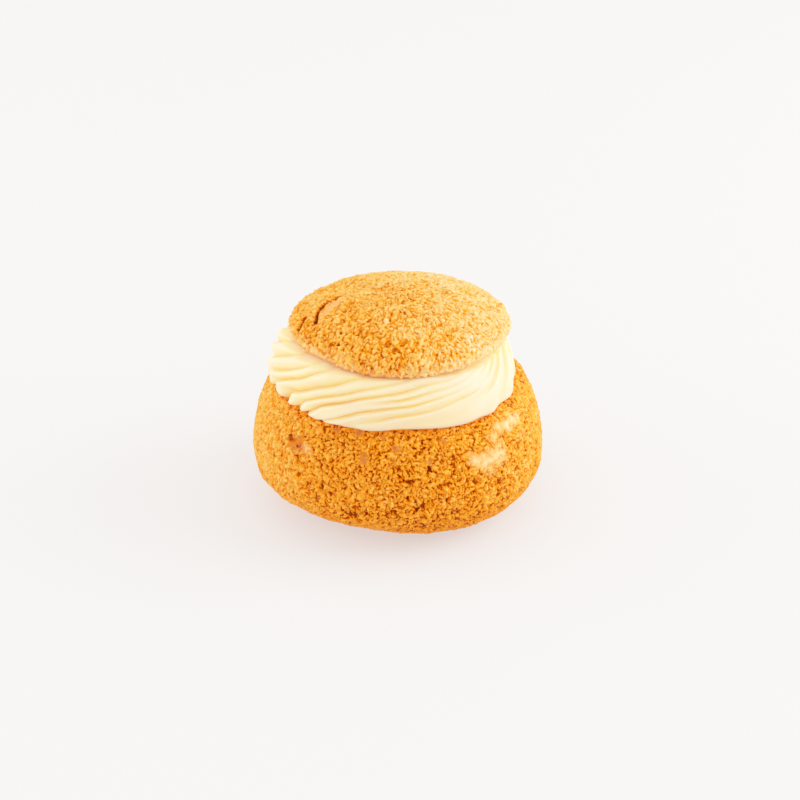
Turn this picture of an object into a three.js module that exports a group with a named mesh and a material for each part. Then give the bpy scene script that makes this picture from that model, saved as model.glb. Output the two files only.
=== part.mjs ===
// A cream puff: a round choux bun with a crackled biscuit crust, cut through near the top,
// with a ring of star-piped cream between the base and its lid.
// Millimetres, +Z up. The bun stands on z = 0. -Y is the front and +X is the right side.
// Angles are in degrees about +Z, so the front is at 270 and the left side at 180.
import * as THREE from 'three';

// Bun before it was cut: a dome on a rounded belly. The underside flares out from the foot
// and turns up to the belly at a share of its height.
const BUN_RADIUS = 38.4;
const BELLY_HEIGHT = 13.5;
const BELLY_TURN = 0.4;
const DOME_HEIGHT = 40;
const FOOT_RADIUS = 21;
const FOOT_FLARE = 10;
const FOOT_LIFT = 0.3;

// The lower front left of the bun is tucked in, as a share of its radius.
const TUCK = 0.18;
const TUCK_ANGLE = 246;
const TUCK_SPREAD = 48;

// Base: the lower part of the bun, with its cut edge rounded over. Its crust fades out
// over a height above the foot and another below the cut.
const CUT_HEIGHT = 35;
const RIM_RADIUS = 29.5;
const RIM_ROUND = 4;
const RIM_FALL = 0.6;
const SHOULDER_DROP = 5;
const FOOT_BARE = 3;
const RIM_BARE = 2;

// The cut dips at the front right, and the cream sags into the dip and spills over its edge.
const DIP = 1.1;
const DIP_ANGLE = 325;
const DIP_SPREAD = 45;
const SPILL_OUT = 1.4;
const SPILL_DOWN = 0.4;
const SAG_SHARE = 0.7;

// Cream: a ring of slanting ridges that runs through between the base and the lid. It lies on
// a flat bed, and its side bulges between two shares of its height.
const CREAM_HEIGHT = 11.4;
const CREAM_BULGE_RADIUS = 33.3;
const CREAM_BULGE_FOOT = 0.1;
const CREAM_BULGE_TOP = 0.7;
const CREAM_BED_RADIUS = 29;
const CREAM_FOOT_RADIUS = 31.8;
const CREAM_TOP_RADIUS = 28;
const CREAM_OFFSET_X = -1.5;

// Grooves part the ridges of the cream. These are the angles at which they cross half its height:
// those that show, one by one, and then evenly spaced ones round the back.
const SHOWN_GROOVES = [154, 171, 188, 203, 213, 227, 237, 247, 271, 301, 320, 338, 354];
const BACK_GROOVES = 8;
const GROOVE_DEPTH = 1.15;

// The crest of a ridge lies at a share of the way from its upper groove to its lower one. It moves
// up on the way from the foot to a share of the height.
const CREST_AT_FOOT = 0.6;
const CREST_AT_TOP = 0.18;
const CREST_MOVES_UP_TO = 0.45;

// Hand piping is uneven. A ridge turns by the slant on its way up, in degrees. The slant changes
// around some centre angles: the ridges run flat at the front and turn steep at the right side.
const SLANT = 46;
const SLANT_CHANGES = [
  { extra: 110, centre: 284, before: 27, after: 26 },
  { extra: -22, centre: 346, before: 22, after: 40 },
];

// Apart from the front, the ridges bend down to blunt ends below a share of the height.
const BEND = 0.65;
const BEND_BELOW = 0.32;
const UNBENT = { centre: 290, before: 45, after: 60 };

// The grooves are deepest at the front left, and the cream is set back at the right.
const DEPTH_CHANGES = [{ extra: 0.95, centre: 205, before: 45, after: 32 }];
const SET_BACK = 1.2;
const SET_BACK_ANGLE = 0;
const SET_BACK_SPREAD = 35;

// The grooves are smeared shut around some centre angles, within a share of the height from the
// foot, at 0, or from the top, at 1: low down and under the lid at the front right, and along
// the foot at the front.
const SMEARS = [
  { extra: 0.75, centre: 312, before: 24, after: 24, from: 0, whole: 0.35, gone: 0.65 },
  { extra: 0.9, centre: 312, before: 26, after: 13, from: 1, whole: 0.32, gone: 0.5 },
  { extra: 0.9, centre: 264, before: 25, after: 40, from: 0, whole: 0.08, gone: 0.3 },
];

// Lid: the cap of the bun, set on top of the cream. Its rim droops at the right, into the cream.
const LID_RADIUS = 28.8;
const LID_RISE = 9.2;
const LID_FULLNESS = 0.46;
const LID_LIP = 1.3;
const LID_OFFSET_X = 0.5;
const DROOP = 1.6;
const DROOP_ANGLE = 350;
const DROOP_SPREAD = 45;

// The lid's rim isn't quite round: it is pinched in at the front left and the front right,
// and the pinch fades out over a height above its edge.
const PINCH = 1.5;
const PINCH_ANGLES = [225, 328];
const PINCH_SPREAD = 22;
const PINCH_FADE = 5;

// A crack curves up the left side of the lid: its plan line, depth and reach to either side.
const CRACK_LINE = new THREE.QuadraticBezierCurve(
  new THREE.Vector2(-21, -10.5),
  new THREE.Vector2(-21.4, -0.5),
  new THREE.Vector2(-15, 2.6),
);
const CRACK_DEPTH = 1.1;
const CRACK_REACH = 1.8;
const CRACK_STEPS = 16;

// Clearance that keeps touching pieces apart.
const GAP = 0.3;

// Crust relief: crumbs of two sizes, as a cell size and a height.
const CRUMBS = [
  { cell: 6, height: 0.8 },
  { cell: 3.2, height: 0.9 },
];

// Facet sizes of the crust, the fewest facets round one of its rings, and facets across
// and along a ridge of the cream.
const BASE_FACET = 1.9;
const LID_FACET = 1.6;
const FEWEST_ROUND = 6;
const COLUMNS_PER_RIDGE = 7;
const CREAM_ROWS = 12;

const CREAM_BOTTOM_Z = CUT_HEIGHT + GAP;
const CREAM_TOP_Z = CREAM_BOTTOM_Z + CREAM_HEIGHT;
const LID_BOTTOM_Z = CREAM_TOP_Z + GAP;
const LID_EDGE_Z = LID_BOTTOM_Z + LID_LIP;

const { degToRad, radToDeg, euclideanModulo, smoothstep, lerp } = THREE.MathUtils;

function angleOf(point) {
  return euclideanModulo(radToDeg(Math.atan2(point.y, point.x)), 360);
}

// A hump around the object: 1 at its centre angle, falling off over one spread before it
// and another after it.
function hump(angle, centre, before, after = before) {
  const turn = euclideanModulo(angle - centre + 180, 360) - 180;
  return Math.exp(-((turn / (turn < 0 ? before : after)) ** 2));
}

// How far the cut lies below its even height at a point.
function dip(point) {
  const outward = smoothstep(Math.hypot(point.x, point.y), 0, RIM_RADIUS);
  return DIP * outward * hump(angleOf(point), DIP_ANGLE, DIP_SPREAD);
}

// How far the lid's rim hangs below its even height at a point.
function droop(point) {
  const outward = smoothstep(Math.hypot(point.x, point.y), 0, CREAM_TOP_RADIUS);
  return DROOP * outward * hump(angleOf(point), DROOP_ANGLE, DROOP_SPREAD);
}

// How far the lid's rim is pinched in at a point.
function pinch(point) {
  const byAngle = PINCH_ANGLES.reduce((sum, angle) => sum + hump(angleOf(point), angle, PINCH_SPREAD), 0);
  return PINCH * byAngle * (1 - smoothstep(point.z, LID_EDGE_Z, LID_EDGE_Z + PINCH_FADE));
}

// A plain amount with its changes around some centre angles added.
function amountAt(angle, plain, changes) {
  const extraAt = ({ extra, centre, before, after }) => extra * hump(angle, centre, before, after);
  return changes.reduce((sum, change) => sum + extraAt(change), plain);
}

// Adds up a rate for each degree around the object. It gives the sum up to any angle, and the angle
// at which the sum has reached any total.
function sumAround(rate) {
  const sums = [0];
  for (let degree = 0; degree < 360; degree++) {
    sums.push(sums[degree] + rate(degree + 0.5));
  }
  const whole = sums[360];
  const upTo = (angle) => {
    const turns = Math.floor(angle / 360);
    const rest = angle - 360 * turns;
    const degree = Math.floor(rest);
    return turns * whole + lerp(sums[degree], sums[degree + 1], rest - degree);
  };
  const angleAt = (total) => {
    const turns = Math.floor(total / whole);
    const rest = total - whole * turns;
    const degree = sums.findLastIndex((sum, i) => i < 360 && sum <= rest);
    return 360 * turns + degree + (rest - sums[degree]) / (sums[degree + 1] - sums[degree]);
  };
  return { upTo, angleAt };
}

// A repeatable number from 0 to 1 for a cell of the crumb lattice.
function cellValue(x, y, z, channel) {
  let h = Math.imul(x, 0x27d4eb2d) ^ Math.imul(y, 0x165667b1) ^ Math.imul(z, 0x1b873593);
  h = Math.imul(h ^ Math.imul(channel + 1, 0x9e3779b1), 0x85ebca6b);
  h = Math.imul(h ^ (h >>> 13), 0xc2b2ae35);
  return ((h ^ (h >>> 16)) >>> 0) / 2 ** 32;
}

// Distance from a point to the nearest crumb centre, in cells.
function crumbDistance(point, cell) {
  const p = point.clone().divideScalar(cell);
  const centre = new THREE.Vector3();
  let nearest = Infinity;
  for (let i = -1; i <= 1; i++) {
    for (let j = -1; j <= 1; j++) {
      for (let k = -1; k <= 1; k++) {
        const [x, y, z] = [Math.floor(p.x) + i, Math.floor(p.y) + j, Math.floor(p.z) + k];
        centre.set(x + cellValue(x, y, z, 0), y + cellValue(x, y, z, 1), z + cellValue(x, y, z, 2));
        nearest = Math.min(nearest, centre.distanceTo(p));
      }
    }
  }
  return nearest;
}

// Height of the crumbly crust over the smooth bun at a point.
function crustRelief(point) {
  return CRUMBS.reduce((sum, { cell, height }) => sum + height * (0.5 - crumbDistance(point, cell)), 0);
}

// Depth of the lid's crack at a point.
function crackDepth(point) {
  const plan = new THREE.Vector2(point.x, point.y);
  const distances = CRACK_LINE.getPoints(CRACK_STEPS).map((onLine) => onLine.distanceTo(plan));
  return CRACK_DEPTH * (1 - smoothstep(Math.min(...distances), 0, CRACK_REACH));
}

// The triangles between a ring of points and the next ring up. A ring of one point is a pole.
function triangleBand(lower, upper) {
  const band = [];
  const pointOf = (ring, i) => ring.first + (i % ring.count);
  const hasNext = (ring, i) => ring.count > 1 && i < ring.count;
  const turnOf = (ring, i) => (hasNext(ring, i) ? (i + 1 + ring.shift) / ring.count : Infinity);
  let i = 0;
  let j = 0;
  while (Math.min(turnOf(lower, i), turnOf(upper, j)) < Infinity) {
    if (turnOf(lower, i) <= turnOf(upper, j)) {
      band.push(pointOf(lower, i), pointOf(lower, i + 1), pointOf(upper, j));
      i++;
    } else {
      band.push(pointOf(lower, i), pointOf(upper, j + 1), pointOf(upper, j));
      j++;
    }
  }
  return band;
}

// A closed solid turned about +Z from an outline of radius and height that runs from the axis,
// bottom to top, back to the axis. facetsRound gives a ring's number of facets from its radius,
// and every second ring is turned by a share of a facet.
function turned(outline, facetsRound, stagger) {
  const positions = [];
  const triangles = [];
  let lower = null;
  outline.forEach(({ x: radius, y: height }, row) => {
    const count = radius > 0 ? facetsRound(radius) : 1;
    const upper = { first: positions.length / 3, count, shift: stagger * (row % 2) };
    for (let i = 0; i < count; i++) {
      const angle = (2 * Math.PI * (i + upper.shift)) / count;
      positions.push(radius * Math.cos(angle), radius * Math.sin(angle), height);
    }
    if (lower) triangles.push(...triangleBand(lower, upper));
    lower = upper;
  });
  const geometry = new THREE.BufferGeometry();
  geometry.setAttribute('position', new THREE.Float32BufferAttribute(positions, 3));
  geometry.setIndex(triangles);
  return geometry;
}

// A crusted solid has facets of about one size all over.
function turnedCrust(outline, facet) {
  const facetsRound = (radius) => Math.max(FEWEST_ROUND, Math.round((2 * Math.PI * radius) / facet));
  return turned(outline, facetsRound, 0.5);
}

// Points along a path, about one facet apart.
function spaced(path, facet) {
  return path.getSpacedPoints(Math.round(path.getLength() / facet));
}

// Moves every vertex of a geometry with a function of its place.
function sculpt(geometry, move) {
  const position = geometry.getAttribute('position');
  const point = new THREE.Vector3();
  for (let i = 0; i < position.count; i++) {
    point.fromBufferAttribute(position, i);
    move(point);
    position.setXYZ(i, point.x, point.y, point.z);
  }
  geometry.computeVertexNormals();
  return geometry;
}

// Pushes a point of the crust away from the heart of its piece.
function pushOut(point, heart, distance) {
  const outward = point.clone().sub(heart).normalize();
  point.addScaledVector(outward, distance);
}

function baseOutline() {
  const shoulder = Math.asin((CUT_HEIGHT - SHOULDER_DROP - BELLY_HEIGHT) / DOME_HEIGHT);
  const side = new THREE.Path()
    .moveTo(FOOT_RADIUS, 0)
    .bezierCurveTo(
      FOOT_RADIUS + FOOT_FLARE, FOOT_LIFT,
      BUN_RADIUS, BELLY_TURN * BELLY_HEIGHT,
      BUN_RADIUS, BELLY_HEIGHT,
    )
    .absellipse(0, BELLY_HEIGHT, BUN_RADIUS, DOME_HEIGHT, 0, shoulder)
    .quadraticCurveTo(RIM_RADIUS + RIM_ROUND, CUT_HEIGHT - RIM_FALL, RIM_RADIUS, CUT_HEIGHT);
  return [new THREE.Vector2(0, 0), ...spaced(side, BASE_FACET), new THREE.Vector2(0, CUT_HEIGHT)];
}

function makeBase() {
  const heart = new THREE.Vector3(0, 0, CUT_HEIGHT / 2);
  return sculpt(turnedCrust(baseOutline(), BASE_FACET), (point) => {
    const low = 1 - smoothstep(point.z, 0, BELLY_HEIGHT);
    const high = smoothstep(point.z, BELLY_HEIGHT, CUT_HEIGHT);
    const belowRim = 1 - smoothstep(point.z, CUT_HEIGHT - RIM_BARE, CUT_HEIGHT);
    const crusted = belowRim * smoothstep(point.z, 0, FOOT_BARE);
    const tuck = 1 - TUCK * low * hump(angleOf(point), TUCK_ANGLE, TUCK_SPREAD);
    point.x *= tuck;
    point.y *= tuck;
    point.z -= high * dip(point);
    pushOut(point, heart, crusted * crustRelief(point));
  });
}

function lidOutline() {
  const side = new THREE.Path()
    .moveTo(LID_RADIUS - LID_LIP, LID_BOTTOM_Z)
    .quadraticCurveTo(LID_RADIUS, LID_BOTTOM_Z, LID_RADIUS, LID_EDGE_Z)
    .bezierCurveTo(
      LID_RADIUS, LID_EDGE_Z + LID_FULLNESS * LID_RISE,
      LID_FULLNESS * LID_RADIUS, LID_EDGE_Z + LID_RISE,
      0, LID_EDGE_Z + LID_RISE,
    );
  return [new THREE.Vector2(0, LID_BOTTOM_Z), ...spaced(side, LID_FACET)];
}

function makeLid() {
  const heart = new THREE.Vector3(0, 0, CREAM_BOTTOM_Z);
  return sculpt(turnedCrust(lidOutline(), LID_FACET), (point) => {
    const crusted = smoothstep(point.z, LID_BOTTOM_Z, LID_EDGE_Z);
    const narrowing = 1 - pinch(point) / LID_RADIUS;
    point.x *= narrowing;
    point.y *= narrowing;
    pushOut(point, heart, crusted * (crustRelief(point) - crackDepth(point)));
    point.z -= (1 - crusted) * droop(point);
    point.x += LID_OFFSET_X;
  });
}

// How deep a point across a ridge lies below its crest: 0 on the crest and 1 in the groove on
// either side. The crest is half rounded.
function grooveDepth(across, crest) {
  const toCrest = across < crest ? across / crest : (1 - across) / (1 - crest);
  return 1 - (toCrest + Math.sin((Math.PI / 2) * toCrest)) / 2;
}

// How much of a groove is left where grooves are smeared shut.
function openness(angle, share) {
  const leftBy = (smear) => {
    const fade = 1 - smoothstep(Math.abs(share - smear.from), smear.whole, smear.gone);
    return 1 - fade * amountAt(angle, 0, [smear]);
  };
  return SMEARS.reduce((left, smear) => left * leftBy(smear), 1);
}

// The angles of all grooves at half height, in turn, ending with the first one again.
function grooveAngles() {
  const [first, last] = [SHOWN_GROOVES[0] + 360, SHOWN_GROOVES.at(-1)];
  const gaps = BACK_GROOVES + 1;
  const back = Array.from({ length: gaps }, (_, i) => lerp(last, first, (i + 1) / gaps));
  return [...SHOWN_GROOVES, ...back];
}

function creamOutline() {
  const side = new THREE.Path()
    .moveTo(CREAM_FOOT_RADIUS, CREAM_BOTTOM_Z)
    .bezierCurveTo(
      CREAM_BULGE_RADIUS, CREAM_BOTTOM_Z + CREAM_BULGE_FOOT * CREAM_HEIGHT,
      CREAM_BULGE_RADIUS, CREAM_BOTTOM_Z + CREAM_BULGE_TOP * CREAM_HEIGHT,
      CREAM_TOP_RADIUS, CREAM_TOP_Z,
    );
  const bed = [new THREE.Vector2(0, CREAM_BOTTOM_Z), new THREE.Vector2(CREAM_BED_RADIUS, CREAM_BOTTOM_Z)];
  return [...bed, ...side.getSpacedPoints(CREAM_ROWS), new THREE.Vector2(0, CREAM_TOP_Z)];
}

function makeCream() {
  const rise = sumAround((angle) => 1 / amountAt(angle, SLANT, SLANT_CHANGES));
  const grooves = grooveAngles();
  const ridges = grooves.length - 1;
  const geometry = turned(creamOutline(), () => ridges * COLUMNS_PER_RIDGE, 0);
  return sculpt(geometry, (point) => {
    const reach = Math.hypot(point.x, point.y);
    if (reach > 0) {
      const share = (point.z - CREAM_BOTTOM_Z) / CREAM_HEIGHT;
      const count = (angleOf(point) / 360) * ridges;
      const ridge = Math.floor(count);
      const halfway = lerp(grooves[ridge], grooves[ridge + 1], count - ridge);
      const bend = BEND * (1 - hump(halfway, UNBENT.centre, UNBENT.before, UNBENT.after));
      const climb = share + bend * Math.max(BEND_BELOW - share, 0);
      const angle = rise.angleAt(rise.upTo(halfway) + climb - 0.5);
      const crest = lerp(CREST_AT_FOOT, CREST_AT_TOP, smoothstep(share, 0, CREST_MOVES_UP_TO));
      const groove = openness(angle, share) * grooveDepth(count - ridge, crest);
      const low = 1 - smoothstep(share, 0, SAG_SHARE);
      const outside = smoothstep(reach, CREAM_BED_RADIUS, CREAM_FOOT_RADIUS);
      const spill = low * outside * hump(angle, DIP_ANGLE, DIP_SPREAD);
      const depth = amountAt(angle, GROOVE_DEPTH, DEPTH_CHANGES);
      const setBack = SET_BACK * outside * hump(angle, SET_BACK_ANGLE, SET_BACK_SPREAD);
      const radius = reach - depth * groove + SPILL_OUT * spill - setBack;
      point.x = radius * Math.cos(degToRad(angle));
      point.y = radius * Math.sin(degToRad(angle));
      point.z -= low * dip(point) + SPILL_DOWN * spill + share * droop(point);
    }
    point.x += CREAM_OFFSET_X;
  });
}

function piece(name, geometry, material) {
  const mesh = new THREE.Mesh(geometry, material);
  mesh.name = name;
  return mesh;
}

const baseCrust = new THREE.MeshStandardMaterial({ color: 0xe08a24, roughness: 0.75, metalness: 0 });
const lidCrust = new THREE.MeshStandardMaterial({ color: 0xeba243, roughness: 0.75, metalness: 0 });
const custardCream = new THREE.MeshStandardMaterial({ color: 0xfbe3ab, roughness: 0.45, metalness: 0 });

const puff = new THREE.Group();
puff.add(
  piece('base', makeBase(), baseCrust),
  piece('cream', makeCream(), custardCream),
  piece('lid', makeLid(), lidCrust),
);

// The origin is under the middle of the puff's box.
const middle = new THREE.Box3().setFromObject(puff, true).getCenter(new THREE.Vector3());
puff.position.set(-middle.x, -middle.y, 0);

export default puff;
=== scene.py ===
import itertools
import math

import bpy
import numpy as np
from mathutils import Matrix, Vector
from mathutils.bvhtree import BVHTree


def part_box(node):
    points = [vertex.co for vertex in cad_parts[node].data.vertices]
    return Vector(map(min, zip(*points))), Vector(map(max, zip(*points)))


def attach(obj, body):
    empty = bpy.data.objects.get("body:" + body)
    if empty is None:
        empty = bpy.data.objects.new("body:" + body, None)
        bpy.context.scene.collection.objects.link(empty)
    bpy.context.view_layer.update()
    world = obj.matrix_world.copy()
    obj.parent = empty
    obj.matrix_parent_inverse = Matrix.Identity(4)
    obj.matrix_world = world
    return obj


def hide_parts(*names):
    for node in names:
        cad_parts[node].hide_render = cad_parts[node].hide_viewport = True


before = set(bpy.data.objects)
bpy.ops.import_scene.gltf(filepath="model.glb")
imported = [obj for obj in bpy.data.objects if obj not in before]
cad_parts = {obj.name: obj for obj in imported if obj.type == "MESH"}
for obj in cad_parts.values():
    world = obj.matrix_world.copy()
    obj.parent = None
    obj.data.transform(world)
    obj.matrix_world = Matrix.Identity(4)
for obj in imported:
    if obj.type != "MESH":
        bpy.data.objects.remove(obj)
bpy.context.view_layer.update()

# The finish of a cream puff: crumbly crust on the base and the lid, and piped cream between them.
# Shapes are worked out in millimetres, with +Z up and -Y to the front, and become metres in the mesh.
# Angles round the puff are in degrees: 180 is the left side, 270 the front and 0 the right side.
MM = 0.001


# Noise

WAVES = 28
WAVE_SPREAD = (0.75, 1.35)


def noise(points, length, seed):
    """Even noise about 0, mostly within 2 either way, with a bump and a hollow in about one length."""
    draw = np.random.default_rng(seed)
    ways = draw.normal(size=(WAVES, 3))
    pitch = 2 * math.pi / length * draw.uniform(*WAVE_SPREAD, WAVES)
    ways *= (pitch / np.linalg.norm(ways, axis=1))[:, None]
    return np.cos(points @ ways.T + draw.uniform(0, 2 * math.pi, WAVES)).sum(axis=1) * math.sqrt(2 / WAVES)


def bent(points, length, distance, seed):
    """Points moved about by noise."""
    return points + distance * np.stack([noise(points, length, seed + axis) for axis in range(3)], axis=-1)


def smooth_step(value, low, high):
    """0 up to the low value, 1 from the high one on, and a smooth rise between them."""
    share = np.clip((value - low) / (high - low), 0, 1)
    return share * share * (3 - 2 * share)


def hump(angle, centre, before, after):
    """A bell round an angle, with a width of its own on each side."""
    turn = (angle - centre + 180) % 360 - 180
    return np.exp(-(turn / np.where(turn < 0, before, after)) ** 2)


# Shells: the solids' surfaces, smooth and dense

def blurred(grid, sigma, axis, mode):
    """Gaussian blur of a grid along one axis."""
    reach = int(3 * sigma)
    weights = np.exp(-0.5 * (np.arange(-reach, reach + 1) / sigma) ** 2)
    padding = [(0, 0), (0, 0)]
    padding[axis] = (reach, reach)
    padded = np.pad(grid, padding, mode=mode)
    length = grid.shape[axis]
    shifted = [np.take(padded, range(i, i + length), axis=axis) for i in range(len(weights))]
    return sum(weight * part for weight, part in zip(weights, shifted)) / weights.sum()


class Shell:
    """How far a solid reaches from its heart in every direction, with its facets smoothed away."""

    LIFTS = 240
    TURNS = 480
    SMOOTHING = 2.2
    OUTLINE_STEPS = 4000
    ROW_HEIGHT = 0.87
    SMALLEST_RING = 6
    # The front, as a share of a turn.
    FRONT = 0.75

    def __init__(self, node, heart, front_density):
        self.heart = np.array(heart)
        self.front_density = front_density
        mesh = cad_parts[node].data
        places = [vertex.co / MM for vertex in mesh.vertices]
        tree = BVHTree.FromPolygons(places, [tuple(polygon.vertices) for polygon in mesh.polygons])
        self.lifts = np.linspace(-90, 90, self.LIFTS)
        reach = np.zeros((self.LIFTS, self.TURNS))
        for row, lift in enumerate(self.lifts):
            ways = self.directions(np.full(self.TURNS, lift), np.arange(self.TURNS) * 360 / self.TURNS)
            reach[row] = [tree.ray_cast(Vector(self.heart), Vector(way))[3] for way in ways]
        self.reach = blurred(blurred(reach, self.SMOOTHING, 0, "edge"), self.SMOOTHING, 1, "wrap")

    @staticmethod
    def directions(lift, turn):
        lift, turn = np.radians(lift), np.radians(turn)
        return np.stack([np.cos(lift) * np.cos(turn), np.cos(lift) * np.sin(turn), np.sin(lift)], axis=-1)

    def points(self, lift, turn):
        """Points of the surface in the given directions, from the four nearest values of the reach."""
        row = np.clip((lift + 90) / 180 * (self.LIFTS - 1), 0, self.LIFTS - 1.001)
        column = turn / 360 * self.TURNS
        row_before, column_before = np.floor(row).astype(int), np.floor(column).astype(int)
        row_share, column_share = row - row_before, column - column_before
        left, right = column_before % self.TURNS, (column_before + 1) % self.TURNS
        low = self.reach[row_before, left] * (1 - column_share)
        low += self.reach[row_before, right] * column_share
        high = self.reach[row_before + 1, left] * (1 - column_share)
        high += self.reach[row_before + 1, right] * column_share
        reach = low * (1 - row_share) + high * row_share
        return self.heart + reach[:, None] * self.directions(lift, turn)

    def rings(self, spacing):
        """Points in rings from the bottom pole to the top one, with a spacing that depends on the place."""
        lifts = np.linspace(-90, 90, self.OUTLINE_STEPS)
        mean = np.interp(lifts, self.lifts, self.reach.mean(axis=1))
        radius = mean * np.cos(np.radians(lifts))
        height = self.heart[2] + mean * np.sin(np.radians(lifts))
        gap = spacing(radius, height)
        run = np.hypot(np.diff(radius), np.diff(height)) / (self.ROW_HEIGHT * 0.5 * (gap[1:] + gap[:-1]))
        count = np.concatenate([[0], np.cumsum(run)])
        rows = int(round(count[-1]))
        places = []
        sizes = []
        for row in range(rows + 1):
            share = row * count[-1] / rows
            lift = np.interp(share, count, lifts)
            round_length = 2 * math.pi * np.interp(share, count, radius)
            size = max(self.SMALLEST_RING, round(round_length / np.interp(share, count, gap)))
            if row in (0, rows):
                size = 1
            part = (np.arange(size) + 0.5 * (row % 2)) / size
            crowding = self.front_density * np.sin(2 * math.pi * (part - self.FRONT))
            places.append(self.points(np.full(size, lift), 360 * part - np.degrees(crowding)))
            sizes.append(size)
        return np.concatenate(places), sizes


def ring_triangles(sizes):
    """Triangles between each ring of points and the next; every second ring is turned by half a step."""
    triangles = []
    first = 0
    for row in range(len(sizes) - 1):
        lower, upper = sizes[row], sizes[row + 1]
        lower_ends = (np.arange(lower) + 1 + 0.5 * (row % 2)) / lower if lower > 1 else np.zeros(0)
        upper_ends = (np.arange(upper) + 1 + 0.5 * ((row + 1) % 2)) / upper if upper > 1 else np.zeros(0)
        order = np.argsort(np.concatenate([lower_ends, upper_ends]), kind="stable")
        on_lower = order < len(lower_ends)
        i = np.cumsum(on_lower) - on_lower
        j = np.cumsum(~on_lower) - ~on_lower
        second = first + lower
        third = np.where(on_lower, first + (i + 1) % lower, second + (j + 1) % upper)
        triangles.append(np.stack([first + i % lower, third, second + j % upper], axis=-1))
        first = second
    return np.concatenate(triangles)


def point_normals(points, triangles):
    corners = points[triangles]
    face = np.cross(corners[:, 1] - corners[:, 0], corners[:, 2] - corners[:, 0])
    normals = np.zeros_like(points)
    for corner in range(3):
        for axis in range(3):
            normals[:, axis] += np.bincount(triangles[:, corner], face[:, axis], len(points))
    return normals / np.linalg.norm(normals, axis=1)[:, None]


def make_piece(name, points, faces, values):
    """A smooth-shaded mesh object in metres that carries the given values on its points."""
    mesh = bpy.data.meshes.new(name)
    mesh.from_pydata((points * MM).tolist(), [], faces.tolist())
    mesh.polygons.foreach_set("use_smooth", np.ones(len(mesh.polygons), bool))
    for key, numbers in values.items():
        layer = mesh.attributes.new(key, "FLOAT", "POINT")
        layer.data.foreach_set("value", numbers.astype(np.float32))
    piece = bpy.data.objects.new(name, mesh)
    bpy.context.scene.collection.objects.link(piece)
    return piece


# Crust

# Gaps between the points of a crust's mesh, where it shows and where it is hidden.
BASE_SPACING = 0.36
LID_SPACING = 0.25
HIDDEN_SPACING = 1.6
# The crust's pattern is bent, first coarsely and then finely: the length and the distance of each bend.
CRUST_BENDS = ((2.2, 0.25), (0.9, 0.07))
# Gentle swells: their lengths and their height.
SWELLS = (2.6, 1.2)
SWELL_HEIGHT = 0.02
# The crust is broken twice, into large pieces and into small ones: their size, the width of the clefts
# between them, and a value that is higher the more of the clefts are open.
BROKEN_PIECES = ((1.9, 0.26, 0.6), (1.2, 0.18, 0))
CLEFT_DEPTH = 0.45
# A piece lies above or below its neighbours, and rises from its border over a share of its size.
LEVEL_HEIGHT = 0.03
PIECE_HEIGHT = 0.07
PIECE_SHOULDER = 0.18
# Pits lie where noise passes a high value, and are whole a little above it.
PIT_LEVEL = 2.0
PIT_SLOPE = 0.6
CRUST_PIT_LENGTH = 1.1


def broken(places, size, seed):
    """A crust broken into pieces: how far points are from the border of their piece, and its own level."""
    draw = np.random.default_rng(seed)
    cell = np.floor(places / size).astype(int)
    inside = places / size - cell
    cell -= cell.min(axis=0) - 1
    span = cell.max(axis=0) + 2
    middles = draw.uniform(0, 1, (*span, 3))
    levels = draw.uniform(-1, 1, span)
    nearest = np.full(len(places), np.inf)
    second = np.full(len(places), np.inf)
    level = np.zeros(len(places))
    for step in itertools.product((-1, 0, 1), repeat=3):
        beside = tuple((cell + step).T)
        distance = np.linalg.norm(middles[beside] + step - inside, axis=1)
        closer = distance < nearest
        second = np.where(closer, nearest, np.minimum(second, distance))
        level = np.where(closer, levels[beside], level)
        nearest = np.minimum(nearest, distance)
    return 0.5 * size * (second - nearest), level


def pits(places, length, seed):
    """Small hollows: 1 in the middle of a hollow and 0 away from it."""
    return smooth_step(noise(places, length, seed), PIT_LEVEL, PIT_LEVEL + PIT_SLOPE)


def near_spots(points, spots, core=0.4):
    """How near points are to spots, given as a place and a radius: 1 in their core and 0 outside."""
    nearness = np.zeros(len(points))
    for *centre, radius in spots:
        distance = np.linalg.norm(points - centre, axis=1)
        nearness = np.maximum(nearness, 1 - smooth_step(distance, core * radius, radius))
    return nearness


def near_line(points, line, reach):
    """How near points are to a line: 1 on it and 0 a reach away."""
    nearest = np.full(len(points), np.inf)
    for start, end in zip(np.array(line[:-1], float), np.array(line[1:], float)):
        run = end - start
        share = np.clip((points - start) @ run / (run @ run), 0, 1)
        nearest = np.minimum(nearest, np.linalg.norm(points - start - share[:, None] * run, axis=1))
    return 1 - smooth_step(nearest, 0, reach)


def crumbly(points, seed):
    """Relief in millimetres of a crust of broken pieces, and how much of a cleft or a pit each point is."""
    places = points
    for number, (length, distance) in enumerate(CRUST_BENDS):
        places = bent(places, length, distance, seed + 5 * number)
    relief = np.zeros(len(points))
    for number, length in enumerate(SWELLS):
        relief += SWELL_HEIGHT * noise(places, length, seed + 10 + 10 * number)
    cleft = 0.9 * pits(places, CRUST_PIT_LENGTH, seed + 60)
    for number, (size, width, openness) in enumerate(BROKEN_PIECES):
        border, level = broken(places, size, seed + 30 + number)
        runs = smooth_step(noise(places, 0.9 * size, seed + 40 + number) + openness, -0.6, 0.8)
        cleft = np.maximum(cleft, runs * (1 - smooth_step(border, 0, width)))
        relief += LEVEL_HEIGHT * level + PIECE_HEIGHT * smooth_step(border, 0, PIECE_SHOULDER * size)
    return relief - CLEFT_DEPTH * cleft, cleft


# Base

BASE_SEED = 1000
BASE_FRONT_DENSITY = 0.35
# The grain is a little flatter than it is wide.
BASE_GRAIN = (1, 1, 1.15)
# The mesh becomes fine between these radii, beyond the foot, and coarse between these depths below the cut.
FINE_BEYOND = (22, 26)
FINE_BELOW_CUT = (0.9, 0.3)
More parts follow.
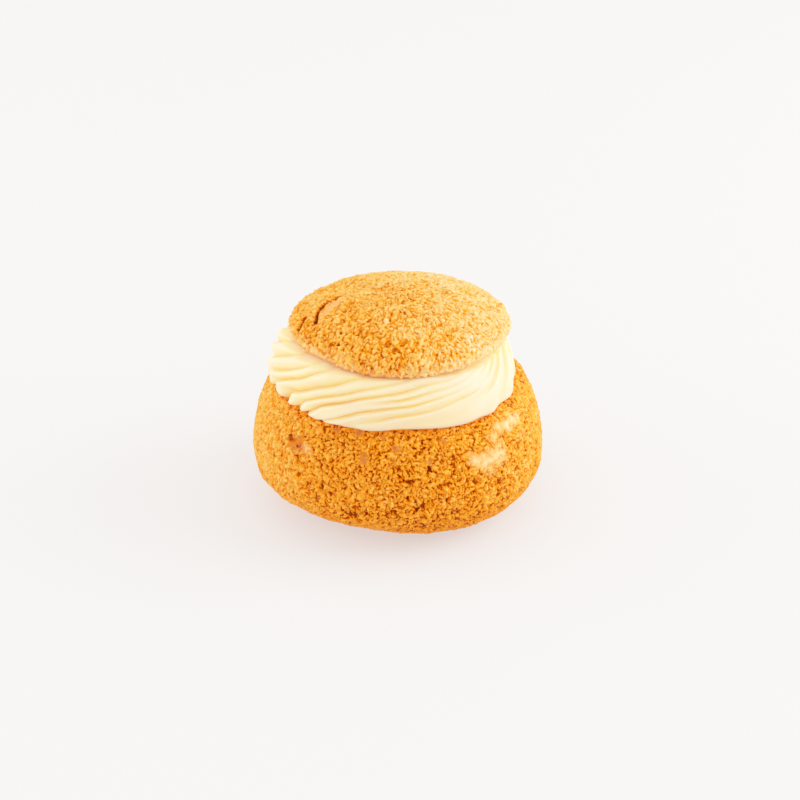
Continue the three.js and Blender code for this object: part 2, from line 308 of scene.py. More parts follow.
# The relief starts between these heights, and ends between these depths below the cut.
RELIEF_START = (0.2, 2.5)
RELIEF_END = (0.8, 0.2)
# The crust darkens downwards between these heights, and is painted paler sideways between these distances:
# painted light, as if the sides were lit more.
DARK_BELOW = (4, 18)
PALE_BEYOND = (16, 36)
# Marks, each as a place and a radius: a hollow, painted shade spots in it where its rim is in shadow, bare
# spots, smears and thin washes of cream, and pits.
HOLLOW = ((-26.4, -24.4, 27, 2.3), (-24.6, -26, 27.3, 2.4))
HOLLOW_SHADE = (
    (-27.3, -23, 28.1, 1.2),
    (-27.7, -23.4, 27.1, 1.0),
    (-26.3, -24.3, 28.6, 0.9),
    (-25.9, -25.3, 26.4, 0.9),
    (-25.3, -25.8, 26.9, 0.8),
)
BARE_SPOTS = (
    (-15, -29, 33.2, 1.2),
    (-9.6, -30.9, 33.5, 1.7),
    (-8.4, -34.3, 29, 1.6),
    (-8.2, -34.8, 27.6, 1.7),
    (-3.3, -32.1, 33.2, 1.2),
    (-0.4, -34, 30.7, 1.7),
    (8, -34.6, 27.8, 1.1),
    (11, -31.8, 31.6, 1.4),
)
SMEARS = (
    (19.6, -31.1, 25.6, 3.0),
    (21.8, -29.6, 24.8, 3.0),
    (23.5, -28.4, 24.6, 3.4),
    (25, -27, 25, 3.0),
    (26.3, -25.7, 24.8, 2.6),
    (25.6, -22.9, 30.7, 2.5),
    (27.5, -20.5, 30.2, 2.7),
    (29.2, -18.1, 29.8, 2.7),
    (30.3, -16, 29.8, 2.2),
)
WASHES = (
    (26.2, -26, 23.5, 3.0),
    (23.3, -29.2, 22.5, 3.0),
    (25.4, -26, 26.8, 3.4),
    (24, -25.2, 29.4, 2.8),
    (-23.2, -27.4, 27.2, 2.4),
    (-22, -28.4, 27.4, 1.8),
)
BASE_PITS = (
    (-18.7, -32.6, 19.5, 0.9),
    (-25.4, -26.9, 24.3, 0.7),
    (-22.9, -29.8, 21.5, 0.8),
    (-8, -37.3, 14.1, 1.0),
    (4.4, -37.8, 15.8, 0.9),
    (2.7, -36.4, 25.2, 0.8),
    (7.7, -35.4, 25.6, 0.8),
)
# Cracks, as lines of places.
BASE_CRACKS = (
    ((9.7, -36.9, 16.8), (11.7, -36.4, 17.3), (14, -35.3, 17.8), (16.2, -34.2, 18.6)),
    ((-2.7, -38, 15.2), (-1.6, -38, 15.3), (-0.2, -38, 15)),
    ((3.9, -37.6, 21), (2.9, -37.8, 19.8), (2.6, -38, 18.7)),
    ((0, -36.6, 24.6), (2.2, -37, 23.3), (4.3, -37, 23.1)),
)
BASE_CRACK_REACH = 0.6
# The marks' outlines are bent, those of the cream more broadly: the length and the distance of each bend.
BASE_MARK_BEND = (1.7, 0.22)
SMEAR_BEND = (3.5, 0.35)
# How far the marks go in, and how far the smears stand out.
BARE_DEPTH = 0.15
HOLLOW_DEPTH = 1.2
BASE_CRACK_DEPTH = 0.7
SMEAR_HEIGHT = 0.1


def base_marks(points):
    """How much of the hollow, its painted shade spots, a bare spot, a smear and a crack or pit each point
    is.
    """
    ragged = bent(points, *BASE_MARK_BEND, BASE_SEED + 200)
    blotchy = bent(points, *SMEAR_BEND, BASE_SEED + 220)
    hollow = near_spots(ragged, HOLLOW)
    shade = near_spots(ragged, HOLLOW_SHADE)
    bare = np.maximum(hollow, near_spots(ragged, BARE_SPOTS, core=0))
    smear = np.maximum(near_spots(blotchy, SMEARS, core=0), 0.5 * near_spots(blotchy, WASHES, core=0))
    smear = smear * (0.9 + 0.12 * noise(points, 1.4, BASE_SEED + 250))
    crack = np.max([near_line(ragged, line, BASE_CRACK_REACH) for line in BASE_CRACKS], axis=0)
    crack = np.maximum(crack, near_spots(ragged, BASE_PITS))
    return hollow, shade, bare, smear, crack


def build_base():
    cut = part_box("base")[1][2] / MM
    shell = Shell("base", (0, 0, 0.5 * cut), BASE_FRONT_DENSITY)

    def below_cut(height, depths):
        return 1 - smooth_step(height, cut - depths[0], cut - depths[1])

    def spacing(radius, height):
        shows = smooth_step(radius, *FINE_BEYOND) * below_cut(height, FINE_BELOW_CUT)
        return HIDDEN_SPACING + (BASE_SPACING - HIDDEN_SPACING) * shows

    points, sizes = shell.rings(spacing)
    triangles = ring_triangles(sizes)
    x, z = points[:, 0], points[:, 2]
    relief, cleft = crumbly(points * BASE_GRAIN, BASE_SEED)
    hollow, shade, bare, smear, crack = base_marks(points)
    plain = (1 - 0.6 * bare) * (1 - 0.75 * smear)
    relief = relief * plain

    # Colour: how much of a cleft each point is, darkened partly as painted shade, more towards the foot and
    # less at the sides, and the toast.
    aside = smooth_step(np.abs(x), *PALE_BEYOND)
    lowness = 1 - smooth_step(z, *DARK_BELOW)
    calm = 1 - np.where(x < 0, 0.18, 0.05) * aside
    cleft = np.max([cleft * plain * calm, 1.5 * crack, 1.6 * shade, 0.78 * hollow], axis=0)
    cleft = cleft * (1 + 0.25 * lowness)
    # Toast with painted light: darker towards the foot and at random, and painted paler at the sides as if
    # lit there.
    toast_and_painted_light = 0.55 + 0.1 * noise(points, 9, BASE_SEED + 400) + 0.7 * lowness
    toast_and_painted_light = toast_and_painted_light - np.where(x < 0, 0.75, 0.5) * aside

    # Shape: the relief and the marks, but nothing below the ground.
    height = relief - BARE_DEPTH * bare - HOLLOW_DEPTH * hollow
    height = height - BASE_CRACK_DEPTH * crack + SMEAR_HEIGHT * smear
    crusted = below_cut(z, RELIEF_END) * smooth_step(z, *RELIEF_START)
    points = points + point_normals(points, triangles) * (height * crusted)[:, None]
    points[:, 2] = np.maximum(points[:, 2], 0)
    values = {"relief": relief, "cleft": cleft, "bare": bare, "smear": smear, "toast_and_painted_light": toast_and_painted_light}
    return make_piece("crusty_base", points, triangles, values)


# Lid

LID_SEED = 5000
LID_FRONT_DENSITY = 0.22
# The heart of its shell is this far below its top, and its mesh becomes fine upwards between these depths.
LID_HEART_DEPTH = 9.3
FINE_ABOVE = (10.3, 9.8)
# The relief is whole this far above the underside.
LID_RELIEF_START = 0.8
# Marks in plan: the crack and a slit beside it as lines, then a bare patch, pits and single pale crumbs,
# each as a place and a radius.
LID_CRACK = (
    (-20.7, -8.8),
    (-20.5, -4.2),
    (-19.8, -2.1),
    (-18.9, -0.5),
    (-17.6, 0.6),
    (-16, 1),
    (-14.1, 2.6),
)
LID_SLIT = ((-25.2, -9), (-24.3, -6.8), (-23.5, -4.2))
LID_PATCH = ((-19, -6.2, 1.5), (-17.9, -4, 2.1), (-16.6, -2.2, 2.4), (-15.2, -0.7, 1.9))
LID_PITS = (
    (-14, -16, 0.7),
    (-13.6, -10.6, 0.6),
    (-17, -13.6, 0.6),
    (-14.6, -19.5, 0.6),
    (-1.8, -13.7, 0.7),
)
LID_CRUMBS = ((-2.9, -14.7, 0.75), (0.85, -17.5, 0.65), (9.5, -12.7, 0.6), (17.4, 14.6, 1.5))
LID_CRACK_REACH = 0.7
LID_SLIT_REACH = 0.8
LID_PIT_LENGTH = 0.95
LID_MARK_BEND = (1.6, 0.12)
# How far the marks go in, and how far the single crumbs and the loose ones along the rim stand out.
LID_CRACK_DEPTH = 1.4
LID_SLIT_DEPTH = 1.0
PATCH_DEPTH = 0.5
LID_PIT_DEPTH = 0.6
CRUMB_HEIGHT = 0.7
LOOSE_HEIGHT = 0.4
# The lid is flatter at one angle round the back.
FLAT = 0.8
FLAT_ANGLE = 151
FLAT_SPREAD = 14
# At the front its rim hangs lower, down on the cream.
HANG = 0.8
HANG_ANGLE = 264
HANG_SPREAD = 38
# The rim is painted pale, partly pale crumbs and partly painted light that lifts the shade under it, but
# less so around one angle.
DARK_RIM = 0.6
DARK_RIM_ANGLE = 262
DARK_RIM_SPREAD = 14
# Its grain is drawn out from the top down to the rim, at this radius with its own width.
RIM = 24
STREAK = 0.25
STREAK_START = 4


def lid_marks(points):
    """How much of the crack, the slit, the bare patch, a pit and a single crumb each point is."""
    plan = bent(points, *LID_MARK_BEND, LID_SEED + 300)[:, :2]
    crack = near_line(plan, LID_CRACK, LID_CRACK_REACH)
    slit = near_line(plan, LID_SLIT, LID_SLIT_REACH)
    bare = near_spots(plan, LID_PATCH)
    pit = np.maximum(near_spots(plan, LID_PITS), 0.6 * pits(points, LID_PIT_LENGTH, LID_SEED + 600))
    crumb = near_spots(plan, LID_CRUMBS)
    return crack, slit, bare, pit, crumb


def build_lid():
    low, high = (np.array(corner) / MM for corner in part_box("lid"))
    middle = 0.5 * (low + high)
    shell = Shell("lid", (middle[0], middle[1], high[2] - LID_HEART_DEPTH), LID_FRONT_DENSITY)

    def spacing(radius, height):
        shows = smooth_step(height, high[2] - FINE_ABOVE[0], high[2] - FINE_ABOVE[1])
        return HIDDEN_SPACING + (LID_SPACING - HIDDEN_SPACING) * shows

    points, sizes = shell.rings(spacing)
    triangles = ring_triangles(sizes)
    outward = points - shell.heart
    radius = np.hypot(outward[:, 0], outward[:, 1])
    angle = np.degrees(np.arctan2(outward[:, 1], outward[:, 0]))
    lift = np.degrees(np.arctan2(outward[:, 2], radius))
    across = (np.maximum(radius, STREAK_START) / RIM) ** -STREAK
    streaks = outward * np.stack([across, across, np.full(len(radius), 1 - STREAK)], axis=-1)
    relief, cleft = crumbly(streaks, LID_SEED)
    crack, slit, bare, pit, crumb = lid_marks(points)
    plain = 1 - 0.8 * bare
    relief = 0.8 * relief * plain

    # Colour: how pale the rim is, partly pale crumbs and partly painted light that lifts the shade under
    # it, then clefts and the toast.
    rim = 1 - smooth_step(lift + 1.6 * noise(points, 1.3, LID_SEED + 500), -2, 5)
    dark_rim = DARK_RIM * hump(angle, DARK_RIM_ANGLE, DARK_RIM_SPREAD, DARK_RIM_SPREAD)
    pale = np.maximum(crumb, 0.8 * rim * (1 - dark_rim))
    # Clefts, cracks and pits are darkened, partly as painted shade; clefts are painted stronger at the top
    # and a little weaker on the lit right.
    top = smooth_step(lift, 35, 75)
    openness = 0.98 + 0.3 * top - 0.06 * smooth_step(points[:, 0], 5, 25)
    cleft = np.max([openness * cleft * plain * (1 - 0.5 * rim), 3 * crack, 2.5 * slit, 2 * pit], axis=0)
    # Toast with painted light: painted paler to the right as if lit there, darker at the top, and at
    # random.
    toast_and_painted_light = 1.35 - 1.35 * smooth_step(points[:, 0] + 0.4 * points[:, 1], -26, 24)
    toast_and_painted_light = toast_and_painted_light + 0.15 * noise(points, 8, LID_SEED + 400) + 0.3 * top

    # Shape: the relief and the marks, and the rim that hangs down.
    edge = smooth_step(lift, -12, -4) * (1 - smooth_step(lift, 2, 10))
    loose = LOOSE_HEIGHT * edge * smooth_step(noise(points, 1.5, LID_SEED + 700), 0, 1.4)
    flat = FLAT * hump(angle, FLAT_ANGLE, FLAT_SPREAD, FLAT_SPREAD) * smooth_step(lift, 0, 8)
    hang = HANG * hump(angle, HANG_ANGLE, HANG_SPREAD, HANG_SPREAD) * (1 - smooth_step(lift, -2, 18))
    height = relief + loose - LID_CRACK_DEPTH * crack - LID_SLIT_DEPTH * slit - PATCH_DEPTH * bare
    height = height - LID_PIT_DEPTH * pit + CRUMB_HEIGHT * crumb - flat
    crusted = smooth_step(points[:, 2], low[2], low[2] + LID_RELIEF_START)
    points = points + point_normals(points, triangles) * (height * crusted)[:, None]
    points[:, 2] = np.maximum(points[:, 2] - hang * crusted, low[2])
    # The pale rim goes in the smear value: partly pale crumbs, partly painted light.
    values = {"relief": relief, "cleft": cleft, "bare": bare, "smear": pale, "toast_and_painted_light": toast_and_painted_light}
    return make_piece("crusty_lid", points, triangles, values)


# Cream

CREAM_FOOT_Z = 35.3
CREAM_OFFSET_X = -1.5
# A curve with four control points up the side, each as a radius and a share of the height.
CREAM_OUTLINE = ((31.8, 0), (33.3, 0.1), (33.6, 0.7), (29.2, 1))
# Where the grooves cross the cream's half height: those that show, and evenly spaced ones round the back.
FRONT_GROOVES = (154, 171, 188, 203, 213, 227, 237, 247, 256, 271, 301, 320, 338, 354)
BACK_GROOVES = 8
# This groove runs only through the upper part: it opens between these shares of the height.
SHORT_GROOVE = 8
SHORT_GROOVE_START = (0.55, 0.68)
# The grooves are smeared shut around some angles: by how much, the centre angle and the width on each side,
# then the share of the height that it starts from, and how far it is whole and then gone.
SMEARED = (
    (0.75, 312, 24, 24, 0, 0.35, 0.65),
    (0.9, 312, 26, 13, 1, 0.32, 0.5),
    (0.9, 264, 25, 40, 0, 0.08, 0.3),
)
COLUMNS_PER_RIDGE = 38
CREAM_ROWS = 72
RIDGE_SEED = 7
CREAM_SEED = 9000
CREAM_BEND = (9, 0.12)
# How much the depth of the grooves and the height of the crests vary.
DEPTH_RANGE = (0.85, 1.15)
CREST_RANGE = (-0.2, 0.2)
# The cream spills out and down over the base where the cut dips, and less so around a second angle.
DIP_ANGLE = 325
DIP_SPREAD = 45
SMALL_DIP = 0.45
SMALL_DIP_ANGLE = 246
SMALL_DIP_SPREAD = 16
SPILL_OUT = 1.4
SPILL_DOWN = 1.5
# Its top droops, with the lid's rim, around one angle.
DROOP = 1.6
DROOP_ANGLE = 350
DROOP_SPREAD = 45
# It is set back at the right, and above its foot at the back left.
RIGHT_SET_BACK = 1.2
BACK_SET_BACK = 2.2


class Turns:
    """A quantity that builds up with the angle round the puff, at a rate that depends on the angle."""

    STEP = 0.5

    def __init__(self, rate):
        self.angles = np.arange(-360, 1081, self.STEP)
        gains = 0.5 * self.STEP * (rate(self.angles[1:]) + rate(self.angles[:-1]))
        self.total = np.concatenate([[0], np.cumsum(gains)])

    def at(self, angle):
        return np.interp(angle, self.angles, self.total)

    def angle(self, total):
        return np.interp(total, self.total, self.angles)


def ridge_slant(angle):
    """How many degrees a ridge turns on its way from the cream's foot to its top."""
    return 46 + 110 * hump(angle, 284, 27, 26) - 22 * hump(angle, 346, 22, 40)


def on_curve(points, t):
    """Places on a curve with four control points, number by number."""
    blend = ((1 - t) ** 3, 3 * t * (1 - t) ** 2, 3 * t * t * (1 - t), t ** 3)
    return [sum(weight * number for weight, number in zip(blend, numbers)) for numbers in zip(*points)]


def ridge_section(number, share, angle, ridges):
    """How deep each point lies in a groove, and how far its ridge's crest stands out or back."""
    draw = np.random.default_rng(RIDGE_SEED)
    phase = (number % 1)[None, :]
    upper = np.floor(number).astype(int)
    # Between two grooves, the crest lies nearer to the first one the higher up it is.
    crest_phase = 0.6 - 0.42 * smooth_step(share, 0, 0.45)
    above = np.clip(phase / crest_phase, 0, 1)
    below = np.clip((phase - crest_phase) / (1 - crest_phase), 0, 1)
    depths = draw.uniform(*DEPTH_RANGE, ridges)[:, None] * np.ones(CREAM_ROWS)
    depths[SHORT_GROOVE] *= smooth_step(share[:, 0], *SHORT_GROOVE_START)
    groove = depths[upper].T * (1 - np.sin(0.5 * math.pi * above))
    groove = groove + depths[(upper + 1) % ridges].T * below ** 1.5
    for amount, centre, before, after, start, whole, gone in SMEARED:
        fade = 1 - smooth_step(np.abs(share - start), whole, gone)
        groove = groove * (1 - amount * fade * hump(angle, centre, before, after))
    crest = draw.uniform(*CREST_RANGE, ridges)[upper] * np.sin(math.pi * phase)
    return groove, crest


def cream_triangles(columns, count):
    """Triangles of the cream's side, and of its bottom and top round two points after the side's count."""
    index = np.arange(CREAM_ROWS * columns).reshape(CREAM_ROWS, columns)
    after = np.roll(index, -1, axis=1)
    sides = [(index[:-1], after[:-1], after[1:]), (index[:-1], after[1:], index[1:])]
    bottom = np.full(columns, count)
    sides += [(bottom, after[0], index[0]), (bottom + 1, index[-1], after[-1])]
    return np.concatenate([np.stack(side, axis=-1).reshape(-1, 3) for side in sides])


def build_cream():
    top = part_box("cream")[1][2] / MM
    height = top - CREAM_FOOT_Z
    back = np.linspace(FRONT_GROOVES[-1], FRONT_GROOVES[0] + 360, BACK_GROOVES + 2)
    grooves = np.concatenate([FRONT_GROOVES, back[1:]])
    ridges = len(grooves) - 1
    columns = ridges * COLUMNS_PER_RIDGE
    number = np.arange(columns) / COLUMNS_PER_RIDGE
    half_height_angle = np.interp(number, np.arange(ridges + 1), grooves)
    reach, share = on_curve(CREAM_OUTLINE, np.linspace(0, 1, CREAM_ROWS)[:, None])

    # The grooves' course: slanting, but steeper near the foot, except at the front right.
    rise = Turns(lambda angle: 1 / ridge_slant(angle))
    steep = 0.65 * (1 - hump(half_height_angle, 290, 45, 60))[None, :]
    climb = share + steep * np.maximum(0.32 - share, 0)
    angle = rise.angle(rise.at(half_height_angle)[None, :] + climb - 0.5)

    # How far out the cream reaches, and its height.
    groove, crest = ridge_section(number, share, angle, ridges)
    depth = 1.15 + 0.95 * hump(angle, 205, 45, 32)
    dip = hump(angle, DIP_ANGLE, DIP_SPREAD, DIP_SPREAD)
    dip = dip + SMALL_DIP * hump(angle, SMALL_DIP_ANGLE, SMALL_DIP_SPREAD, SMALL_DIP_SPREAD)
    spill = (1 - smooth_step(share, 0, 0.7)) * dip
    set_back = RIGHT_SET_BACK * hump(angle, 0, 35, 35) * smooth_step(reach, 29, 31.8)
    set_back = set_back + BACK_SET_BACK * hump(angle, 140, 50, 40) * smooth_step(share, 0, 0.5)
    droop = DROOP * hump(angle, DROOP_ANGLE, DROOP_SPREAD, DROOP_SPREAD)
    reach = reach - depth * groove + crest + SPILL_OUT * spill - set_back
    x = reach * np.cos(np.radians(angle)) + CREAM_OFFSET_X
    y = reach * np.sin(np.radians(angle))
    z = CREAM_FOOT_Z + height * share - SPILL_DOWN * spill - droop * share
    points = bent(np.stack([x, y, z], axis=-1).reshape(-1, 3), *CREAM_BEND, CREAM_SEED)

    # Painted shade: the cream is painted golden in the grooves, down the lower side of each ridge, and
    # right under the lid, where the lid shades it.
    painted_shade = np.maximum(groove, 0.5 * smooth_step(share, 0.95, 1))
    centres = [(CREAM_OFFSET_X, 0, CREAM_FOOT_Z), (CREAM_OFFSET_X, 0, top)]
    values = {"groove": np.concatenate([painted_shade.reshape(-1), np.zeros(len(centres))])}
    triangles = cream_triangles(columns, len(points))
    return make_piece("piped_cream", np.concatenate([points, centres]), triangles, values)


# Materials

def display(red, green, blue):
    """A colour given as 0 to 255 display values, as the linear colour that a shader takes."""
    values = np.array((red, green, blue)) / 255
    return tuple(np.where(values <= 0.04045, values / 12.92, ((values + 0.055) / 1.055) ** 2.4)) + (1.0,)


# Crust colours from the bottom of a cleft to the top of a grain, darker low down partly as painted shade,
# then where it is bare or smeared, and of its sheen.
BASE_COLOURS = (
    (0.0, display(126, 44, 0)),
    (0.2, display(204, 94, 0)),
    (0.45, display(247, 134, 6)),
    (0.7, display(255, 158, 46)),
    (1.0, display(255, 198, 120)),
)
LID_COLOURS = (
    (0.0, display(150, 58, 0)),
    (0.2, display(246, 130, 2)),
    (0.45, display(255, 156, 36)),
    (0.7, display(255, 188, 108)),
    (1.0, display(255, 224, 184)),
)
BASE_BARE = display(156, 88, 62)
LID_BARE = display(244, 160, 108)
SMEAR_COLOUR = display(252, 208, 156)
SHEEN_COLOUR = display(255, 210, 150)
# Cream colours from the crest of a ridge to the bottom of a groove, the golden end painted shade.
CREAM_COLOURS = ((0.1, display(253, 212, 174)), (0.9, display(255, 207, 134)))


class Nodes:
    """Short ways to add and link the nodes of one material."""

    def __init__(self, name):
        self.material = bpy.data.materials.new(name)
        self.material.use_nodes = True
        self.tree = self.material.node_tree
        self.shader = self.tree.nodes["Principled BSDF"]
        self.place = self.tree.nodes.new("ShaderNodeTexCoord").outputs["Object"]

    def put(self, socket, value):
        if isinstance(value, bpy.types.NodeSocket):
            self.tree.links.new(value, socket)
        else:
            socket.default_value = value

    def set_shader(self, **values):
        """Puts values in the shader's sockets, whose names have _ for each space."""
        for key, value in values.items():
            self.put(self.shader.inputs[key.replace("_", " ")], value)

    def value(self, key):
        node = self.tree.nodes.new("ShaderNodeAttribute")
        node.attribute_name = key
        return node.outputs["Fac"]

    def math(self, operation, first, second):
        node = self.tree.nodes.new("ShaderNodeMath")
        node.operation = operation
        self.put(node.inputs[0], first)
        self.put(node.inputs[1], second)
        return node.outputs[0]

    def step(self, value, low, high, start=0.0, end=1.0):
        node = self.tree.nodes.new("ShaderNodeMapRange")
        node.interpolation_type = "SMOOTHSTEP"
        keys = ("Value", "From Min", "From Max", "To Min", "To Max")
        for key, number in zip(keys, (value, low, high, start, end)):
            self.put(node.inputs[key], number)
        return node.outputs["Result"]

    def mix(self, share, first, second):
        node = self.tree.nodes.new("ShaderNodeMix")
        node.data_type = "RGBA"
        self.put(node.inputs["Factor"], share)
        self.put(node.inputs[6], first)
        self.put(node.inputs[7], second)
        return node.outputs[2]

    def noise(self, place, cell, detail, output="Fac"):
        node = self.tree.nodes.new("ShaderNodeTexNoise")
        self.put(node.inputs["Vector"], place)
        node.inputs["Scale"].default_value = 1 / (cell * MM)
        node.inputs["Detail"].default_value = detail
        return node.outputs[output]

    def borders(self, place, cell):
        """How far places are from the border of their cell, as a share of a cell."""
        node = self.tree.nodes.new("ShaderNodeTexVoronoi")
        node.feature = "DISTANCE_TO_EDGE"
        self.put(node.inputs["Vector"], place)
        node.inputs["Scale"].default_value = 1 / (cell * MM)
        return node.outputs["Distance"]

    def bent(self, cell, distance):
        """The place, moved about by noise so that cells lose their straight sides."""
        centred = self.tree.nodes.new("ShaderNodeVectorMath")
        centred.operation = "SUBTRACT"
        self.put(centred.inputs[0], self.noise(self.place, cell, detail=3.0, output="Color"))
        centred.inputs[1].default_value = (0.5, 0.5, 0.5)
        moved = self.tree.nodes.new("ShaderNodeVectorMath")
        moved.operation = "MULTIPLY_ADD"
        self.put(moved.inputs[0], centred.outputs[0])
        moved.inputs[1].default_value = (distance * MM,) * 3
        self.put(moved.inputs[2], self.place)
        return moved.outputs[0]

    def ramp(self, value, colours):
        node = self.tree.nodes.new("ShaderNodeValToRGB")
        elements = node.color_ramp.elements
        while len(elements) < len(colours):
            elements.new(0.5)
        for element, (position, colour) in zip(elements, colours):
            element.position = position
            element.color = colour
        self.put(node.inputs["Fac"], value)
        return node.outputs["Color"]

    def bump(self, height, distance):
        node = self.tree.nodes.new("ShaderNodeBump")
        node.inputs["Strength"].default_value = 1.0
        node.inputs["Distance"].default_value = distance * MM
        self.put(node.inputs["Height"], height)
        self.put(self.shader.inputs["Normal"], node.outputs["Normal"])


def crust_material(name, colours, bare_colour, depth, glow):
    """Crust whose colour goes from the bottom of a cleft up to the top of a grain, darker low down partly
    as painted shade.
    """
    nodes = Nodes(name)
    cleft, bare, smear = nodes.value("cleft"), nodes.value("bare"), nodes.value("smear")

    # Fine grain: mottling and short darker creases, partly painted shade, both weaker where the crust is
    # bare or smeared.
    bent_place = nodes.bent(cell=0.9, distance=0.6)
    mottle = nodes.noise(bent_place, cell=0.7, detail=3.0)
    fine = nodes.math("MULTIPLY", nodes.math("SUBTRACT", mottle, 0.5), 0.6)
    crease = nodes.step(nodes.borders(bent_place, cell=0.75), 0.02, 0.13, start=1.0, end=0.0)
    runs = nodes.step(nodes.noise(nodes.place, cell=1.0, detail=1.0), 0.44, 0.6)
    crease = nodes.math("MULTIPLY", nodes.math("MULTIPLY", crease, runs), 0.6 * depth)
    covered = nodes.math("MAXIMUM", bare, smear)
    plain = nodes.math("SUBTRACT", 1.0, nodes.math("MULTIPLY", covered, 0.7))
    fine = nodes.math("MULTIPLY", nodes.math("SUBTRACT", fine, crease), plain)

    # Tone, from relief and grain, with low places darker as painted shade, less what clefts (partly painted
    # shade) and the toast and painted light take away.
    tone = nodes.math("ADD", nodes.math("MULTIPLY", nodes.value("relief"), 0.45), fine)
    deep = nodes.math("MAXIMUM", nodes.math("SUBTRACT", cleft, 1.0), 0.0)
    sharp = nodes.math("ADD", nodes.step(cleft, 0.45, 1.0), deep)
    tone = nodes.math("SUBTRACT", tone, nodes.math("MULTIPLY", sharp, depth))
    tone = nodes.math("SUBTRACT", tone, nodes.math("MULTIPLY", nodes.value("toast_and_painted_light"), 0.16))
    colour = nodes.ramp(nodes.math("ADD", tone, 0.775), colours)
    shown = nodes.math("MULTIPLY", bare, nodes.step(cleft, 0.2, 0.8, start=0.75, end=0.3))
    colour = nodes.mix(shown, colour, bare_colour)
    # On the lid the smear value also holds the pale rim, partly painted light.
    colour = nodes.mix(nodes.math("MULTIPLY", smear, 0.85), colour, SMEAR_COLOUR)

    nodes.bump(fine, distance=0.5)
    nodes.set_shader(Base_Color=colour, Roughness=nodes.step(mottle, 0.3, 0.7, start=0.6, end=0.85))
    nodes.set_shader(Specular_IOR_Level=0.03)
    nodes.set_shader(Subsurface_Weight=glow, Subsurface_Radius=(1.0, 0.4, 0.08), Subsurface_Scale=0.6 * MM)
    nodes.set_shader(Sheen_Weight=0.35, Sheen_Roughness=0.35, Sheen_Tint=SHEEN_COLOUR)
    return nodes.material


def cream_material():
    """Cream that is pale on the crests and painted golden in the grooves as shade, with faint streaks."""
    nodes = Nodes("custard_cream")
    streak = nodes.math("MULTIPLY", nodes.noise(nodes.place, cell=3.0, detail=3.0), 0.3)
    # The groove value is painted shade: golden in the grooves and right under the lid.
    groove = nodes.math("MULTIPLY", nodes.value("groove"), 0.7)
    colour = nodes.ramp(nodes.math("ADD", groove, streak), CREAM_COLOURS)
    grit = nodes.noise(nodes.place, cell=0.5, detail=2.0)
    nodes.bump(grit, distance=0.03)
    nodes.set_shader(Base_Color=colour, Roughness=nodes.step(grit, 0.3, 0.7, start=0.35, end=0.5))
    nodes.set_shader(Subsurface_Weight=1.0, Subsurface_Radius=(1.0, 1.0, 0.3), Subsurface_Scale=6 * MM)
    return nodes.material


# Stage: floor, light and camera, in metres

FLOOR_HALF_SIZE = 3.0
# How bright the world is at the horizon and high up, and how high on a unit sphere the latter starts.
HORIZON_GLOW = 1.2
HIGH_GLOW = 0.75
HIGH_START = 0.9
LIGHT_SIZE = 0.8
LIGHT_TARGET = (0, 0, 0.03)
# The lights' places and powers.
KEY_LIGHT = ((0.85, 0.05, 0.5), 5.1)
RIM_LIGHT = ((-0.9, 0.1, 0.2), 3.2)
CAMERA_PLACE = (0.0006, -0.387, 0.2336)
CAMERA_PITCH = 28.2
FOCAL_LENGTH = 75
SENSOR_WIDTH = 36
NEAREST_SEEN = 0.01
# A bright exposure with soft highlights: points of the brightness curve, and its end.
TONE_POINTS = ((0.25, 0.36), (0.5, 0.67), (0.75, 0.87))
TONE_END = (1.0, 0.985)


def build_floor():
    half = FLOOR_HALF_SIZE
    mesh = bpy.data.meshes.new("floor")
    corners = [(-half, -half, 0), (half, -half, 0), (half, half, 0), (-half, half, 0)]
    mesh.from_pydata(corners, [], [(0, 1, 2, 3)])
    floor = bpy.data.objects.new("floor", mesh)
    bpy.context.scene.collection.objects.link(floor)
    nodes = Nodes("pale_floor")
    nodes.set_shader(Base_Color=(0.45, 0.44, 0.43, 1), Roughness=0.7, Specular_IOR_Level=0.1)
    nodes.set_shader(Emission_Color=(1, 0.97, 0.95, 1), Emission_Strength=0.36)
    mesh.materials.append(nodes.material)


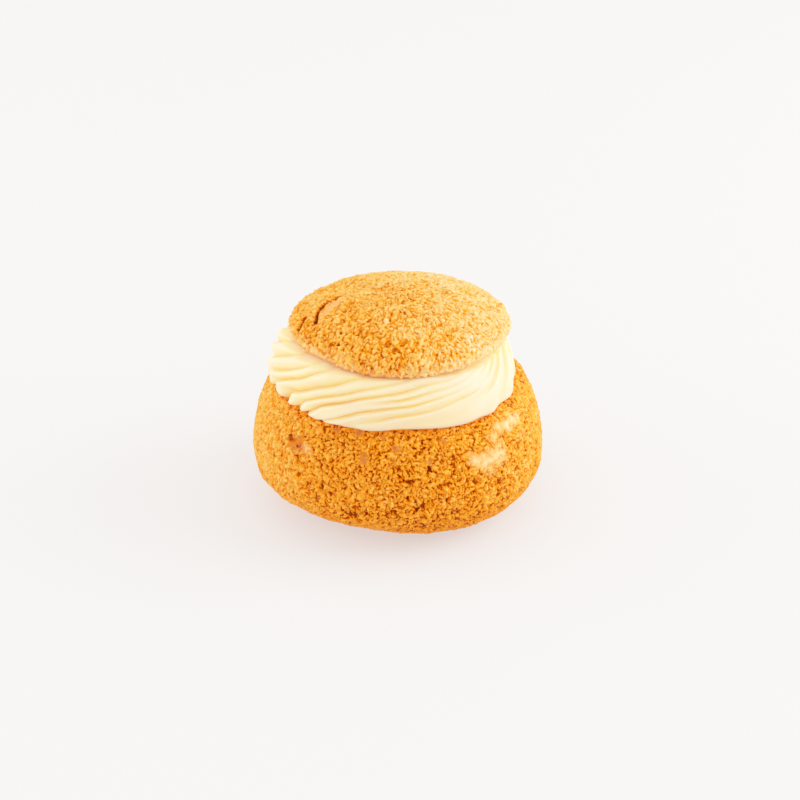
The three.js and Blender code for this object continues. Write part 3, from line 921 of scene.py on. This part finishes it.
def build_world():
    """White light from all round, brighter from the horizon than from above."""
    world = bpy.data.worlds.new("studio")
    world.use_nodes = True
    tree = world.node_tree
    background = tree.nodes["Background"]
    way = tree.nodes.new("ShaderNodeSeparateXYZ")
    tree.links.new(tree.nodes.new("ShaderNodeTexCoord").outputs["Generated"], way.inputs[0])
    glow = tree.nodes.new("ShaderNodeMapRange")
    tree.links.new(way.outputs["Z"], glow.inputs["Value"])
    ends = (("From Min", 0.0), ("From Max", HIGH_START), ("To Min", HORIZON_GLOW), ("To Max", HIGH_GLOW))
    for key, number in ends:
        glow.inputs[key].default_value = number
    tree.links.new(glow.outputs["Result"], background.inputs["Strength"])
    background.inputs["Color"].default_value = (1, 1, 1, 1)
    bpy.context.scene.world = world


def soft_light(name, place, power):
    light = bpy.data.lights.new(name, "AREA")
    light.size = LIGHT_SIZE
    light.energy = power
    lamp = bpy.data.objects.new(name, light)
    lamp.location = place
    lamp.rotation_euler = (Vector(LIGHT_TARGET) - lamp.location).to_track_quat("-Z", "Y").to_euler()
    bpy.context.scene.collection.objects.link(lamp)


def build_camera():
    lens = bpy.data.cameras.new("camera")
    lens.lens = FOCAL_LENGTH
    lens.sensor_width = SENSOR_WIDTH
    lens.clip_start = NEAREST_SEEN
    camera = bpy.data.objects.new("camera", lens)
    camera.location = CAMERA_PLACE
    camera.rotation_euler = (math.radians(90 - CAMERA_PITCH), 0, 0)
    bpy.context.scene.collection.objects.link(camera)
    bpy.context.scene.camera = camera


def set_exposure():
    view = bpy.context.scene.view_settings
    view.view_transform = "Standard"
    view.use_curve_mapping = True
    curve = view.curve_mapping.curves[3]
    for x, y in TONE_POINTS:
        curve.points.new(x, y)
    curve.points[-1].location = TONE_END
    view.curve_mapping.update()


# The whole scene

build_floor()
build_world()
set_exposure()
soft_light("key", *KEY_LIGHT)
soft_light("rim", *RIM_LIGHT)
build_camera()
base = build_base()
lid = build_lid()
cream = build_cream()
pieces = (
    (base, "base_crust", crust_material("base_crust", BASE_COLOURS, BASE_BARE, depth=0.46, glow=0.12)),
    (lid, "lid_crust", crust_material("lid_crust", LID_COLOURS, LID_BARE, depth=0.35, glow=0.3)),
    (cream, "cream", cream_material()),
)
for piece, slot, material in pieces:
    piece.data.materials.append(material)
    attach(piece, "root")
for piece, node in ((base, "base"), (lid, "lid"), (cream, "cream")):
    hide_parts(node)
